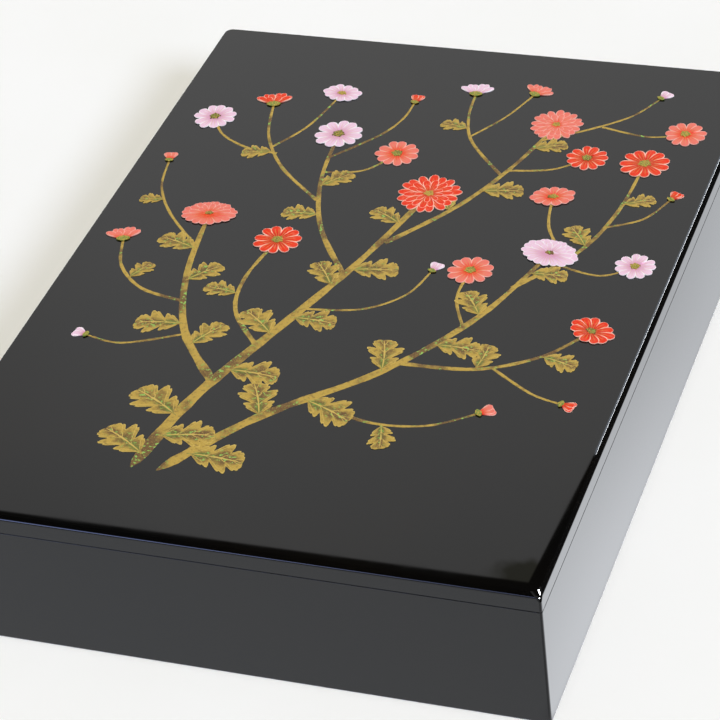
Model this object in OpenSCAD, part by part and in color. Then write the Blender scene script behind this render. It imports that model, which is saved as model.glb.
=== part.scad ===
// Flat document box with a flush lift-off lid, in millimetres.
// Four mitred walls carry a bottom board and a raised lip; the lid is a top board with
// a bevelled shoulder on four mitred rails, and it drops over the lip with its sides flush.
// The origin is under the middle of the closed box, +Z is up and -Y is the front.

/* [Box] */
// Width of the closed box, left to right
box_w = 240; // [200:1:320]
// Depth of the closed box, front to back
box_d = 335; // [240:1:420]
// Height of the closed box, table to top
box_h = 60; // [52:1:120]
// Rounding of the four upright corners
corner_r = 1; // [0.6:0.1:1.4]
// Easing of the long outer edges, at the foot and at the parting line
edge_r = 0.5; // [0.2:0.1:0.6]

/* [Walls] */
// Thickness of the four walls
wall_t = 8; // [7.5:0.5:10]
// Width of the flat seat on top of a wall, where the lid rests
seat_w = 4.5; // [4:0.1:5]

/* [Bottom] */
// Thickness of the bottom board
bottom_t = 4; // [3:0.5:5]
// Width of the rim that a wall stands on, outside the bottom board
rim_w = 4; // [3:0.5:5]
// Height of the bottom board above the table
foot_h = 1; // [0.5:0.5:2]

/* [Lip] */
// Depth of the rabbet that holds the lip, below the seat
lip_set = 12; // [8:1:16]
// Height of the lip above the seat
lip_rise = 4; // [3:0.5:4]
// Easing of the lip's top edges, which leads the lid on
lip_ease = 0.8; // [0.4:0.1:1.2]

/* [Lid] */
// Height of the lid, seat to top
lid_h = 8.5; // [8.5:0.5:12]
// Thickness of the lid's top board
board_t = 4; // [3.5:0.5:4]
// Width of the bevelled shoulder, in from the lid's sides
shoulder_w = 1.3; // [1:0.1:1.5]
// Height of the bevelled shoulder, down from the lid's top
shoulder_h = 2.1; // [1.8:0.1:2.2]
// Easing of the bevel's lower edge, towards the lid's sides
lower_ease = 2.5; // [1:0.1:2.5]
// Easing of the bevel's upper edge, towards the flat
upper_ease = 0.8; // [0.4:0.1:1]
// Play between a lid rail and the lip
lid_play = 0.4; // [0.3:0.1:0.8]
// Growth of the plan corner radius on the way up the board's sides
corner_open = 1; // [0.2:0.1:1.5]
// Growth of the plan corner radius for each millimetre of shoulder inset
corner_roll = 1; // [0.5:0.1:1.5]

/* [Corner splines] */
// Thickness of the loose spline in each mitred corner
spline_t = 2; // [1.5:0.5:2.5]
// Width of the spline across the mitre
spline_w = 6; // [4:0.5:6]
// Wood left above and below a spline
spline_cover = 3; // [2:0.5:5]

/* [Hidden] */
$fn = 48;

// How far a cutter runs past the face that it cuts
over = 1;
// Height of the walls, from the table to the seat
wall_h = box_h - lid_h;
// Height of the inside floor
floor_z = foot_h + bottom_t;
// Thickness of the lip, flush with the inside of the walls
lip_t = wall_t - seat_w;
// Foot of the lip, on the ledge of its rabbet
lip_z = wall_h - lip_set;
// Section of a lid rail
rail_t = seat_w - lid_play;
rail_h = lid_h - board_t;
// Underside of the lid's top board
board_z = wall_h + rail_h;
// Middle of a corner spline, in from both outer faces
spline_in = wall_t * 0.54;
spline_z = floor_z + spline_cover;
spline_h = lip_z - spline_cover - spline_z;
// Slope of the shoulder's bevel from upright, and where its lower easing starts
bevel_turn = atan(shoulder_w / shoulder_h);
shoulder_z = box_h - shoulder_h - lower_ease * tan(bevel_turn / 2);
// How far in the flat of the top board starts
flat_inset = shoulder_w + upper_ease * tan((90 - bevel_turn) / 2);
// Height of the top board's foot, where its corners are as tight as the walls' corners
board_foot_h = 0.2;
// Levels of each eased edge of the shoulder, and the thickness of each level
ease_steps = 5;
level_t = 0.02;

// Lacquer black of the faces, satin black of the inside, bare wood of the splines
lacquer = [0.03, 0.03, 0.035];
satin = [0.05, 0.05, 0.052];
bare_wood = [0.72, 0.56, 0.36];

// The square corner left outside a quarter circle, at the origin, towards +x and +y
module eased_corner(r) {
    difference() {
        translate([-over, -over]) square(r + over);
        translate([r, r]) circle(r);
    }
}

// Stands children, drawn for the front, at one of the four sides.
// Drawn for the front: x runs along the side, y goes in from its outer face.
module at_side(side) {
    turn = side == "front" ? 0 : side == "right" ? 90 : side == "back" ? 180 : 270;
    reach = (turn % 180 == 0 ? box_d : box_w) / 2;
    rotate(turn) translate([0, -reach, 0]) children();
}

// Length of a side, corner to corner
function side_run(side) = side == "front" || side == "back" ? box_w : box_d;

// A strip along a side with both ends mitred, its outer face set in by inset.
// The child is its section: x goes in from the outer face, y goes up.
module mitred_strip(side, inset, thick, tall, round_r = 0) {
    half = side_run(side) / 2 - inset;
    at_side(side) translate([0, inset, 0]) intersection() {
        rotate([90, 0, 90]) linear_extrude(2 * half, center = true) children();
        translate([0, 0, -over]) linear_extrude(tall + 2 * over) difference() {
            polygon([[-half, 0], [half, 0], [half - thick, thick], [thick - half, thick]]);
            if (round_r > 0) for (end = [0, 1])
                mirror([end, 0]) translate([-half, 0]) eased_corner(round_r);
        }
    }
}

// One spline, at the middle of the corner in the quarter that sx and sy point to
module spline(sx, sy) {
    translate([sx * (box_w / 2 - spline_in), sy * (box_d / 2 - spline_in), spline_z + spline_h / 2])
        rotate(sx * sy > 0 ? 45 : -45) cube([spline_t, spline_w, spline_h], center = true);
}

module all_splines() {
    for (sx = [-1, 1], sy = [-1, 1]) spline(sx, sy);
}

// Section of a wall: lip rabbet inside at the top, bottom rabbet inside at the foot
module wall_section() {
    difference() {
        square([wall_t, wall_h]);
        translate([seat_w, lip_z]) square([wall_t, lip_set + over]);
        translate([rim_w, -over]) square([wall_t, floor_z + over]);
        eased_corner(edge_r);
        translate([0, wall_h]) mirror([0, 1]) eased_corner(edge_r);
    }
}

module wall(side) {
    color(lacquer) difference() {
        mitred_strip(side, 0, wall_t, wall_h, corner_r) wall_section();
        all_splines();
    }
}

module front_wall() wall("front");
module back_wall() wall("back");
module left_wall() wall("left");
module right_wall() wall("right");

// Flat board in the rabbet at the walls' foot, clear of the table
module bottom_board() {
    color(satin) translate([0, 0, foot_h + bottom_t / 2])
        cube([box_w - 2 * rim_w, box_d - 2 * rim_w, bottom_t], center = true);
}

// Section of a lip strip: both top edges eased
module lip_section() {
    tall = lip_set + lip_rise;
    translate([0, lip_z]) difference() {
        square([lip_t, tall]);
        translate([0, tall]) mirror([0, 1]) eased_corner(lip_ease);
        translate([lip_t, tall]) rotate(180) eased_corner(lip_ease);
    }
}

module lip(side) {
    color(satin) mitred_strip(side, seat_w, lip_t, wall_h + lip_rise) lip_section();
}

module front_lip() lip("front");
module back_lip() lip("back");
module left_lip() lip("left");
module right_lip() lip("right");

// Loose splines across the four mitres, blind at both ends
module corner_splines() {
    color(bare_wood) all_splines();
}

// The corners of one level of the top board, a rounded rectangle drawn in by inset
module board_level(inset, plan_r, foot, top) {
    for (sx = [-1, 1], sy = [-1, 1])
        translate([sx * (box_w / 2 - inset - plan_r), sy * (box_d / 2 - inset - plan_r), foot])
            cylinder(h = top - foot, r = plan_r, $fn = 32);
}

// A level of the shoulder, whose corners are the more open the further it is drawn in
module shoulder_level(inset, level_z) {
    board_level(inset, corner_r + corner_open + corner_roll * inset, level_z - level_t, level_z);
}

// Top board: an upright foot, then levels lofted over the bevelled shoulder and its eased edges.
// The corners open as they rise, so that the shoulder rounds them over.
module lid_top_board() {
    color(lacquer) hull() {
        board_level(0, corner_r, board_z, board_z + board_foot_h);
        for (step = [0 : ease_steps]) {
            lower = bevel_turn * step / ease_steps;
            upper = bevel_turn + (90 - bevel_turn) * step / ease_steps;
            shoulder_level(lower_ease * (1 - cos(lower)), shoulder_z + lower_ease * sin(lower));
            shoulder_level(flat_inset - upper_ease * cos(upper), box_h - upper_ease * (1 - sin(upper)));
        }
    }
}

// Section of a lid rail: both lower edges eased
module rail_section() {
    translate([0, wall_h]) difference() {
        square([rail_t, rail_h]);
        eased_corner(edge_r);
        translate([rail_t, 0]) mirror([1, 0]) eased_corner(edge_r);
    }
}

module lid_rail(side) {
    color(lacquer) mitred_strip(side, 0, rail_t, board_z, corner_r) rail_section();
}

module lid_front_rail() lid_rail("front");
module lid_back_rail() lid_rail("back");
module lid_left_rail() lid_rail("left");
module lid_right_rail() lid_rail("right");

front_wall();
back_wall();
left_wall();
right_wall();
bottom_board();
front_lip();
back_lip();
left_lip();
right_lip();
corner_splines();
lid_top_board();
lid_front_rail();
lid_back_rail();
lid_left_rail();
lid_right_rail();
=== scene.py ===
"""Looks of a black-lacquered document box with a flower spray painted on its flush lid."""

import math
import random

import bmesh
import bpy
from bpy.props import FloatProperty, FloatVectorProperty, IntProperty, PointerProperty
from bpy.types import Operator, Panel, PropertyGroup
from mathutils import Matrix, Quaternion, Vector


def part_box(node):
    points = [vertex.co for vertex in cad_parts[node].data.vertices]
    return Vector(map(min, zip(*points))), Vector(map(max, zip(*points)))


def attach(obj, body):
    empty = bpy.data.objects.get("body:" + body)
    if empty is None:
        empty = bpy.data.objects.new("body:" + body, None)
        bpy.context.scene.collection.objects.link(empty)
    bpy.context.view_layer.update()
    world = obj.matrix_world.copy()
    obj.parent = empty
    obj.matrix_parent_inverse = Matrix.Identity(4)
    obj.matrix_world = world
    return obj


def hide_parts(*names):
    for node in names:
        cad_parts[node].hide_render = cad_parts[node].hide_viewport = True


bl_info = {
    "name": "Lacquered document box",
    "version": (1, 0, 0),
    "blender": (4, 5, 0),
    "location": "3D View > Sidebar > Document Box",
    "description": "Models the lacquered walls, lid and painted spray of a flat document box",
    "category": "Add Mesh",
}

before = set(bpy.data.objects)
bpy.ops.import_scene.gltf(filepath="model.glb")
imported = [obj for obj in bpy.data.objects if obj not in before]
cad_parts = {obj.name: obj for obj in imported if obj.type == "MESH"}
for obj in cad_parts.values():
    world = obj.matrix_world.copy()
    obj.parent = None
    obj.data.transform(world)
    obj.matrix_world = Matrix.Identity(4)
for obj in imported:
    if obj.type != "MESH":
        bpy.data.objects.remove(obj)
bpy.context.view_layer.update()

MM = 0.001
TINY = 0.01 * MM
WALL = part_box("front_wall")
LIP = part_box("front_lip")
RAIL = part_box("lid_front_rail")
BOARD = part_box("lid_top_board")
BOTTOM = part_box("bottom_board")
BOX_W = BOARD[1].x - BOARD[0].x
BOX_D = BOARD[1].y - BOARD[0].y
LID_TOP = BOARD[1].z
SIDE_TURN = {"front": 0, "right": 90, "back": 180, "left": 270}
PAINT_UV = "paint_uv"
# Steps of a rounding: at the upright corners, along an edge and at the lid board's corners
CORNER_STEPS = 10
EDGE_STEPS = 5
BOARD_CORNER_STEPS = 12
# Faces that meet at a smaller angle, in degrees, are shaded as one: on crisp pieces and on round ones
CRISP_ANGLE = 40
ROUND_ANGLE = 60
# A face looks a way when its normal has more than this share of that way
FACING = 0.9
# Refractive index of the lacquer and of the paints, and how much of the gold is bare metal
LACQUER_IOR = 1.54
PAINT_IOR = 1.4
GOLD_METALLIC = 0.12
# Most of a noise lies between these values
NOISE_SPAN = (0.3, 0.7)


def tint(red, green, blue):
    """Linear RGBA of a colour written as it is seen, from 0 to 255."""
    seen = [part / 255 for part in (red, green, blue)]
    linear = [part / 12.92 if part <= 0.04045 else ((part + 0.055) / 1.055) ** 2.4 for part in seen]
    return (*linear, 1.0)


def colour_value(name, description, red, green, blue):
    return FloatVectorProperty(
        name=name, description=description, subtype="COLOR", size=4, min=0, max=1,
        default=tint(red, green, blue),
    )


def length_value(name, description, default_mm):
    return FloatProperty(
        name=name, description=description, unit="LENGTH", precision=4, min=0, default=default_mm * MM
    )


def angle_value(name, description, degrees):
    return FloatProperty(
        name=name, description=description, subtype="ANGLE", default=math.radians(degrees)
    )


def plain_value(name, description, default):
    return FloatProperty(name=name, description=description, min=0, default=default)


class JoinerySettings(PropertyGroup):
    """Roundings of the wooden pieces"""
    corner_radius: length_value("Corner radius", "Rounding of the upright corners", 1.0)
    corner_open: length_value("Corner opening", "Growth of the lid's corner radius up its sides", 1.0)
    corner_roll: plain_value("Corner roll", "Growth of the lid's corner radius with its inset", 1.0)
    edge_ease: length_value("Edge easing", "Rounding along the foot", 0.5)
    parting_ease: length_value("Parting easing", "Rounding along the parting line", 0.3)
    lip_ease: length_value("Lip easing", "Rounding of the lip's top edges", 0.8)
    board_foot: length_value("Board foot", "Height of the lid board's tight corners", 0.2)
    shoulder_width: length_value("Shoulder width", "Bevel round the lid, in from its sides", 1.3)
    shoulder_height: length_value("Shoulder height", "Bevel round the lid, down from its top", 2.1)
    lower_ease: length_value("Lower easing", "Rounding of the bevel's lower edge", 2.5)
    upper_ease: length_value("Upper easing", "Rounding of the bevel's upper edge", 0.8)
    shoulder_steps: IntProperty(name="Shoulder steps", description="Levels of each eased edge", default=10)


class FinishSettings(PropertyGroup):
    """Colours of the lacquer, wood and paints"""
    lacquer: colour_value("Lacquer", "Polished black of the outside", 6, 6, 6)
    lacquer_warm: colour_value("Lacquer depth", "Brown that shows in the black", 10, 8, 6)
    satin: colour_value("Satin lacquer", "Rubbed black of the inside", 22, 21, 21)
    satin_warm: colour_value("Satin depth", "Brown that shows in the rubbed black", 30, 26, 23)
    wood: colour_value("Bare wood", "Wood of the hidden splines", 204, 176, 136)
    wood_dark: colour_value("Wood grain", "Darker grain of the splines", 150, 118, 80)
    gold: colour_value("Gold", "Sprinkled gold powder", 196, 164, 78)
    gold_light: colour_value("Bright gold", "Gold of the veins and outlines", 216, 186, 100)
    brown: colour_value("Brown", "Thin gold over the dark ground", 112, 84, 56)
    vermilion: colour_value("Vermilion", "Red lacquer paint", 238, 56, 26)
    vermilion_deep: colour_value("Deep vermilion", "Red at the foot of a petal", 206, 36, 18)
    coral: colour_value("Coral", "Coral lacquer paint", 241, 122, 108)
    pale: colour_value("Pale pink", "Pale lilac pink paint", 243, 206, 229)
    pale_deep: colour_value("Deep pink", "Pink at the foot of a pale petal", 222, 158, 196)
    rim: colour_value("Pale rim", "Light outline of the red petals", 252, 200, 182)
    coral_rim: colour_value("Coral rim", "Outline of the coral petals", 250, 186, 172)
    white: colour_value("White rim", "Light outline of the pale petals", 253, 246, 250)
    green: colour_value("Green", "Green of the calyxes and leaf hearts", 112, 138, 62)
    moss: colour_value("Light green", "Flecks of light green", 158, 206, 104)


class SpraySettings(PropertyGroup):
    """Sizes of the painted spray"""
    relief: length_value("Relief", "Height of the raised paint", 0.14)
    petal_dome: length_value("Petal dome", "Swell of a petal's middle", 0.05)
    head_rise: length_value("Head rise", "Height from a flower's lowest petal to its topmost", 0.30)
    stem_rise: length_value("Stem rise", "Half thickness of a stem at its foot", 0.10)


class StageSettings(PropertyGroup):
    """Camera, lamps and surroundings"""
    azimuth: angle_value("Azimuth", "Camera's turn to the right of the front", 22.876)
    elevation: angle_value("Elevation", "Camera's height above the horizon", 36.575)
    roll: angle_value("Roll", "Camera's turn about its own axis", -7.126)
    distance: length_value("Distance", "Camera to the point it looks at", 1167.4)
    lens: FloatProperty(name="Lens", description="Focal length in millimetres", default=149.38)
    aim: FloatVectorProperty(
        name="Aim", description="Point that the camera looks at", subtype="TRANSLATION",
        default=(2.16 * MM, -17.6 * MM, 30 * MM),
    )
    top: plain_value("Top", "Strength of the broad light overhead", 2.08)
    key: plain_value("Key", "Strength of the light from the right", 1.5)
    ambient: plain_value("Ambient", "Even light from all round", 0.10)
    floor: colour_value("Floor", "Pale floor", 247, 247, 246)


SETTINGS = {
    "box_joinery": JoinerySettings,
    "box_finish": FinishSettings,
    "box_spray": SpraySettings,
    "box_stage": StageSettings,
}


# Modelling helpers

def select_only(*pieces):
    """Leaves only these pieces selected, with the first of them active."""
    bpy.ops.object.select_all(action="DESELECT")
    for piece in pieces:
        piece.select_set(True)
    if pieces:
        bpy.context.view_layer.objects.active = pieces[0]


def apply_place():
    bpy.ops.object.transform_apply(location=True, rotation=True, scale=True)


def shade(degrees):
    bpy.ops.object.shade_smooth_by_angle(angle=math.radians(degrees))


def start_piece(name, add, size=(1, 1, 1), **placing):
    """Adds a primitive, names it, applies its place and size and opens it in edit mode."""
    if bpy.context.object and bpy.context.object.mode != "OBJECT":
        bpy.ops.object.mode_set(mode="OBJECT")
    select_only()
    add(**placing)
    piece = bpy.context.object
    piece.name = name
    piece.scale = size
    apply_place()
    bpy.ops.object.mode_set(mode="EDIT")
    return piece


def pick_all():
    bpy.ops.mesh.select_all(action="SELECT")


def face_out():
    """Turns every face of the open mesh outward."""
    pick_all()
    bpy.ops.mesh.normals_make_consistent(inside=False)


def end_edit():
    face_out()
    bpy.ops.object.mode_set(mode="OBJECT")


def pick(kind, test):
    """Selects the vertices, edges or faces of the open mesh that pass the test."""
    bpy.ops.mesh.select_mode(type=kind)
    bpy.ops.mesh.select_all(action="DESELECT")
    mesh = bpy.context.object.data
    shape = bmesh.from_edit_mesh(mesh)
    shape.normal_update()
    found = {"VERT": shape.verts, "EDGE": shape.edges, "FACE": shape.faces}[kind]
    for part in found:
        if test(part):
            part.select_set(True)
    shape.select_flush_mode()
    bmesh.update_edit_mesh(mesh)


def ease(test, radius, steps):
    """Rounds the edges that pass the test."""
    pick("EDGE", test)
    bpy.ops.mesh.bevel(offset=radius, offset_type="OFFSET", segments=steps, profile=0.5, affect="EDGES")


def near(value, target):
    return abs(value - target) < TINY


def at_height(edge, height):
    return all(near(vert.co.z, height) for vert in edge.verts)


def smooth(piece):
    """Shades a piece smooth, with its flat faces kept flat."""
    select_only(piece)
    shade(CRISP_ANGLE)
    bpy.ops.object.modifier_add(type="WEIGHTED_NORMAL")
    piece.modifiers[-1].keep_sharp = True
    bpy.ops.object.modifier_apply(modifier=piece.modifiers[-1].name)


def finish_faces(piece, *names, choose=lambda normal: 0):
    """Gives a piece the finishes of these names, and each face the one that choose picks by its normal."""
    for name in names:
        piece.data.materials.append(finish(name))
    for face in piece.data.polygons:
        face.material_index = choose(face.normal)


def settle(piece, body, slot, *nodes):
    """A finished piece rides on its body and stands for its nodes."""
    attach(piece, body)
    if nodes:
        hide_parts(*nodes)


# Node helpers

def add_node(tree, kind, inputs=None, **settings):
    """Adds a node; an input is a value to set or a socket to join."""
    node = tree.nodes.new(kind)
    for name, value in settings.items():
        setattr(node, name, value)
    for name, value in (inputs or {}).items():
        socket = node.inputs[name]
        if isinstance(value, bpy.types.NodeSocket):
            tree.links.new(value, socket)
        else:
            socket.default_value = value
    return node


def mix_colours(tree, share, first, second, blend="MIX"):
    """Mixes two colours, which a Mix node takes in its sockets 6 and 7 and gives in its output 2."""
    inputs = {0: share, 6: first, 7: second}
    return add_node(tree, "ShaderNodeMix", inputs, data_type="RGBA", blend_type=blend).outputs[2]


def reckon(tree, operation, *values):
    """One sum on numbers or sockets."""
    inputs = dict(enumerate(values))
    return add_node(tree, "ShaderNodeMath", inputs, operation=operation).outputs[0]


def product(tree, *values):
    result = values[0]
    for value in values[1:]:
        result = reckon(tree, "MULTIPLY", result, value)
    return result


def ramp(tree, value, low, high, from_value=0.0, to_value=1.0):
    """A soft step from one value to another as the input goes from low to high."""
    return add_node(
        tree, "ShaderNodeMapRange",
        {"Value": value, "From Min": low, "From Max": high, "To Min": from_value, "To Max": to_value},
        interpolation_type="SMOOTHSTEP",
    ).outputs[0]


def fall(tree, value, low, high):
    """A soft step down from 1 to 0."""
    return ramp(tree, value, low, high, 1.0, 0.0)


def graded(tree, value, stops):
    """A grey that changes with a value, given as stops of value and grey in rising order."""
    low, high = stops[0][0], stops[-1][0]
    share = add_node(tree, "ShaderNodeMapRange", {"Value": value, "From Min": low, "From Max": high})
    node = add_node(tree, "ShaderNodeValToRGB", {"Fac": share.outputs[0]})
    steps = node.color_ramp.elements
    for at, _ in stops[1:-1]:
        steps.new((at - low) / (high - low))
    for step, (_, grey) in zip(steps, stops):
        step.color = (grey, grey, grey, 1)
    return node.outputs[0]


def noise(tree, place, scale, detail=2.0):
    return add_node(
        tree, "ShaderNodeTexNoise", {"Vector": place, "Scale": scale, "Detail": detail}
    ).outputs["Fac"]


def split_axes(tree, vector):
    return tuple(add_node(tree, "ShaderNodeSeparateXYZ", {0: vector}).outputs)


def new_finish(name, **constants):
    """A material with one shader; returns it with its tree, shader and object coordinates."""
    material = bpy.data.materials.new(name)
    material.use_nodes = True
    tree = material.node_tree
    tree.nodes.clear()
    shader = add_node(tree, "ShaderNodeBsdfPrincipled", constants)
    output = add_node(tree, "ShaderNodeOutputMaterial")
    tree.links.new(shader.outputs[0], output.inputs["Surface"])
    place = add_node(tree, "ShaderNodeTexCoord").outputs["Object"]
    return material, tree, shader, place


def set_looks(tree, shader, colour, roughness):
    tree.links.new(colour, shader.inputs["Base Color"])
    tree.links.new(roughness, shader.inputs["Roughness"])


def set_bump(tree, shader, height, strength, distance):
    bump = add_node(
        tree, "ShaderNodeBump", {"Height": height, "Strength": strength, "Distance": distance}
    )
    tree.links.new(bump.outputs[0], shader.inputs["Normal"])


# Finishes

def polished_lacquer(name):
    """Mirror-polished black, a little brown in its depth, with faint rubbing marks."""
    colours = bpy.context.scene.box_finish
    material, tree, shader, place = new_finish(name, IOR=LACQUER_IOR)
    depth = noise(tree, place, 14)
    rubbing = noise(tree, place, 40, 4)
    set_looks(
        tree, shader,
        mix_colours(tree, ramp(tree, depth, 0.35, 0.75), colours.lacquer, colours.lacquer_warm),
        ramp(tree, rubbing, 0.3, 0.8, 0.008, 0.02),
    )
    return material


def satin_lacquer(name):
    """Rubbed black of the inside, with a fine ground texture."""
    colours = bpy.context.scene.box_finish
    material, tree, shader, place = new_finish(name, IOR=LACQUER_IOR)
    cloud = noise(tree, place, 22, 3)
    set_looks(
        tree, shader, mix_colours(tree, cloud, colours.satin, colours.satin_warm),
        ramp(tree, cloud, *NOISE_SPAN, 0.24, 0.34),
    )
    set_bump(tree, shader, noise(tree, place, 1600, 2), 0.15, 0.03 * MM)
    return material


def bare_wood(name):
    """Straight-grained planed wood."""
    colours = bpy.context.scene.box_finish
    material, tree, shader, place = new_finish(name)
    stretched = add_node(tree, "ShaderNodeMapping", {"Vector": place, "Scale": (900, 900, 40)})
    grain = noise(tree, stretched.outputs[0], 1.0, 3)
    set_looks(
        tree, shader, mix_colours(tree, grain, colours.wood_dark, colours.wood),
        ramp(tree, grain, *NOISE_SPAN, 0.7, 0.5),
    )
    return material


def paint_axes(tree):
    """How far across a painted stroke, out from its middle and along it, each from 0 to 1."""
    across, along, _ = split_axes(tree, add_node(tree, "ShaderNodeUVMap", uv_map=PAINT_UV).outputs[0])
    side = reckon(tree, "ABSOLUTE", reckon(tree, "MULTIPLY_ADD", across, 2.0, -1.0))
    return across, side, along


def petal_paint(name, main, deep, rim):
    """Opaque lacquer paint: deep at the foot, with a light outline and fine gold hairs."""
    colours = bpy.context.scene.box_finish
    material, tree, shader, place = new_finish(name, IOR=PAINT_IOR)
    across, side, along = paint_axes(tree)
    brush = noise(tree, place, 700, 3)
    body = mix_colours(tree, ramp(tree, along, 0.05, 0.5), deep, main)
    body = mix_colours(tree, ramp(tree, brush, 0.45, 0.8, 0.0, 0.16), body, rim)
    hairs = ramp(tree, reckon(tree, "SINE", reckon(tree, "MULTIPLY", across, 6 * math.pi)), 0.8, 1.0)
    hairs = reckon(tree, "MULTIPLY", hairs, ramp(tree, along, 0.3, 0.72, 0.75, 0.0))
    body = mix_colours(tree, hairs, body, colours.gold_light)
    outline = reckon(tree, "MAXIMUM", ramp(tree, side, 0.70, 0.92), ramp(tree, along, 0.89, 0.97))
    outline = reckon(tree, "MULTIPLY", outline, ramp(tree, along, 0.15, 0.4))
    set_looks(
        tree, shader, mix_colours(tree, outline, body, rim), ramp(tree, brush, *NOISE_SPAN, 0.42, 0.58)
    )
    set_bump(tree, shader, brush, 0.2, 0.04 * MM)
    return material


def gold_paint(tree, place, thin):
    """Gold powder over a brown ground where the gold is thin, with a few light green flecks."""
    colours = bpy.context.scene.box_finish
    grain = noise(tree, place, 2400, 2)
    streak = noise(tree, place, 620, 3)
    body = mix_colours(tree, thin, colours.gold, colours.brown)
    body = mix_colours(tree, ramp(tree, grain, 0.46, 0.72, 0.0, 0.5), body, colours.gold_light)
    body = mix_colours(tree, ramp(tree, streak, 0.52, 0.66, 0.0, 0.45), body, colours.brown)
    flecks = product(tree, ramp(tree, noise(tree, place, 760, 1), 0.60, 0.66), thin)
    return mix_colours(tree, flecks, body, colours.moss), grain


def set_gold(tree, shader, colour, grain, height):
    """Sets gold's colour, a roughness that follows its grain, and its relief."""
    set_looks(tree, shader, colour, ramp(tree, grain, *NOISE_SPAN, 0.55, 0.4))
    set_bump(tree, shader, height, 0.3, 0.05 * MM)


def gold_powder(name):
    """Gold powder sprinkled on wet lacquer: bright grains over thin brown patches."""
    material, tree, shader, place = new_finish(name, Metallic=GOLD_METALLIC, IOR=PAINT_IOR)
    thin = ramp(tree, noise(tree, place, 75, 3), 0.46, 0.62)
    colour, grain = gold_paint(tree, place, thin)
    set_gold(tree, shader, colour, grain, grain)
    return material


def gold_leaf(name):
    """Leaves in sprinkled gold: brown and green at the heart, with bright veins and rim."""
    colours = bpy.context.scene.box_finish
    material, tree, shader, place = new_finish(name, Metallic=GOLD_METALLIC, IOR=PAINT_IOR)
    _, side, along = paint_axes(tree)
    heart = reckon(tree, "ADD", noise(tree, place, 150, 3), 0.18)
    heart = reckon(tree, "SUBTRACT", heart, reckon(tree, "MULTIPLY", side, 0.62))
    colour, grain = gold_paint(tree, place, ramp(tree, heart, 0.22, 0.62))
    foot = product(tree, fall(tree, side, 0.05, 0.45), ramp(tree, along, 0.1, 0.65, 0.7, 0.0))
    colour = mix_colours(tree, foot, colour, colours.green)
    rib = fall(tree, side, 0.03, 0.075)
    climb = reckon(tree, "SUBTRACT", along, reckon(tree, "MULTIPLY", side, 0.26))
    branch = reckon(tree, "ABSOLUTE", reckon(tree, "SINE", reckon(tree, "MULTIPLY", climb, 12.0)))
    branch = product(tree, fall(tree, branch, 0.06, 0.17), fall(tree, side, 0.7, 0.95))
    veins = reckon(tree, "MAXIMUM", reckon(tree, "MAXIMUM", rib, branch), ramp(tree, side, 0.88, 0.96))
    colour = mix_colours(tree, veins, colour, colours.gold_light)
    set_gold(tree, shader, colour, grain, reckon(tree, "ADD", grain, veins))
    return material


def calyx_green(name):
    """Green paint with a dusting of gold."""
    colours = bpy.context.scene.box_finish
    material, tree, shader, place = new_finish(name, IOR=PAINT_IOR)
    grain = noise(tree, place, 1500, 2)
    set_looks(
        tree, shader, mix_colours(tree, ramp(tree, grain, 0.42, 0.62), colours.green, colours.gold),
        ramp(tree, grain, *NOISE_SPAN, 0.4, 0.55),
    )
    return material


FINISH_MAKERS = {
    "polished_lacquer": polished_lacquer,
    "satin_lacquer": satin_lacquer,
    "bare_wood": bare_wood,
    "gold_powder": gold_powder,
    "gold_leaf_paint": gold_leaf,
    "calyx_green": calyx_green,
}


def finish(name):
    """The material of that name, made on first use."""
    made = bpy.data.materials.get(name)
    if made:
        return made
    colours = bpy.context.scene.box_finish
    petals = {
        "vermilion_petal": (colours.vermilion, colours.vermilion_deep, colours.rim),
        "coral_petal": (colours.coral, colours.vermilion, colours.coral_rim),
        "pale_petal": (colours.pale, colours.pale_deep, colours.white),
    }
    if name in petals:
        return petal_paint(name, *petals[name])
    return FINISH_MAKERS[name](name)


# Joinery

def strip_section(name, side, inset, thick, foot, top, notches=()):
    """Stands a strip's section at the left end of a front side and draws it out along the run.

    A notch is the (in, up) low and high corner of what is cut from the section.
    """
    run, reach = (BOX_W, BOX_D / 2) if side in ("front", "back") else (BOX_D, BOX_W / 2)
    outer = inset - reach
    piece = start_piece(
        name, bpy.ops.mesh.primitive_plane_add, size=((top - foot) / 2, thick / 2, 1),
        location=(inset - run / 2, outer + thick / 2, (foot + top) / 2), rotation=(0, math.pi / 2, 0),
    )
    inward, upward = Vector((0, 1, 0)), Vector((0, 0, 1))
    for low, high in notches:
        cuts = ((inward, outer + low[0]), (inward, outer + high[0]), (upward, low[1]), (upward, high[1]))
        for way, at in cuts:
            pick_all()
            bpy.ops.mesh.bisect(plane_co=way * at, plane_no=way)
    for low, high in notches:
        pick("FACE", lambda face: (
            low[0] < face.calc_center_median().y - outer < high[0]
            and low[1] < face.calc_center_median().z < high[1]
        ))
        bpy.ops.mesh.delete(type="FACE")
    pick_all()
    bpy.ops.mesh.dissolve_limited(angle_limit=math.radians(1))
    pick_all()
    bpy.ops.mesh.extrude_region_move(TRANSFORM_OT_translate={"value": (run - 2 * inset, 0, 0)})
    face_out()
    return piece, run, reach


def cut_mitres(piece, side, run, reach):
    """Cuts both ends at 45 degrees and turns the strip to its side."""
    for end in (-1, 1):
        pick_all()
        bpy.ops.mesh.bisect(
            plane_co=(end * run / 2, -reach, 0), plane_no=(end, 1, 0), use_fill=True, clear_outer=True
        )
    end_edit()
    smooth(piece)
    piece.rotation_euler.z = math.radians(SIDE_TURN[side])
    apply_place()


def on_outside(edge, run, reach, depth):
    """Whether an edge runs along a strip's outer face, its ends or the round between them."""
    first, second = (vert.co for vert in edge.verts)
    return all(
        abs(point.x) > run / 2 - depth or point.y < depth - reach
        for point in (first, second, (first + second) / 2)
    )


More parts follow.
